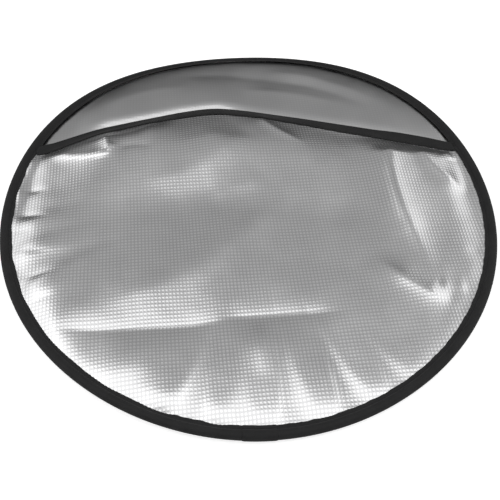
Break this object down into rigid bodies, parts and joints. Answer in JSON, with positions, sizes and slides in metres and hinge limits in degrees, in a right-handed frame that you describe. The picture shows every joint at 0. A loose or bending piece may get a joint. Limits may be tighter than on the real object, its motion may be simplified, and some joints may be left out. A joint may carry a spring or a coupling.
{
  "type": "collapsible reflector disc",
  "caption": "Round pop-up reflector disc on a sprung steel hoop, with a black bound rim and an embossed silver front panel that forms an open pocket over a full back panel.",
  "frame": {"origin": "centre of the rim, on the plane that the disc rests on when it lies on its back", "axes": "+Z out of the front panel; +Y towards the mouth of the pocket; +X along the line between the mouth's corners"},
  "size_m": [0.45, 0.45, 0.0362],
  "materials": {
    "black_tape": "woven polyester tape, matte",
    "black_thread": "matte",
    "embossed_film": "aluminised film, satin, waffle embossed",
    "satin_film": "aluminised film, satin, fine emboss",
    "spring_steel": "satin",
    "crimped_ferrule": "satin"
  },
  "bodies": {
    "lower_half": {"hoop_lower": "spring_steel", "hoop_ferrule": "crimped_ferrule", "rim_tape_lower": "black_tape", "rim_tape_lap": "black_tape", "rim_needle_thread_lower": "black_thread", "rim_bobbin_thread_lower": "black_thread", "back_panel_lower": "satin_film", "front_panel_lower": "embossed_film"},
    "upper_half": {"hoop_upper": "spring_steel", "rim_tape_upper": "black_tape", "rim_needle_thread_upper": "black_thread", "rim_bobbin_thread_upper": "black_thread", "back_panel_upper": "satin_film", "front_panel_upper": "embossed_film", "mouth_tape_left": "black_tape", "mouth_tape_right": "black_tape", "mouth_needle_thread_left": "black_thread", "mouth_needle_thread_right": "black_thread", "mouth_bobbin_thread_left": "black_thread", "mouth_bobbin_thread_right": "black_thread", "corner_tack_left": "black_thread", "corner_tack_right": "black_thread"},
    "mouth_lip": {"front_panel_lip": "embossed_film", "mouth_tape_middle": "black_tape", "mouth_needle_thread_middle": "black_thread", "mouth_bobbin_thread_middle": "black_thread"}
  },
  "joints": [
    {"name": "fold", "type": "hinge", "parent": "lower_half", "child": "upper_half", "pos_m": [0, -0.01, 0.022], "axis": [1, 0, 0], "range_deg": [0, 150], "stiffness_Nm_per_rad": 0.25},
    {"name": "mouth_lift", "type": "hinge", "parent": "upper_half", "child": "mouth_lip", "pos_m": [0, 0.064, 0.0246], "axis": [1, 0, 0], "range_deg": [-12, 45], "stiffness_Nm_per_rad": 0.02}
  ]
}
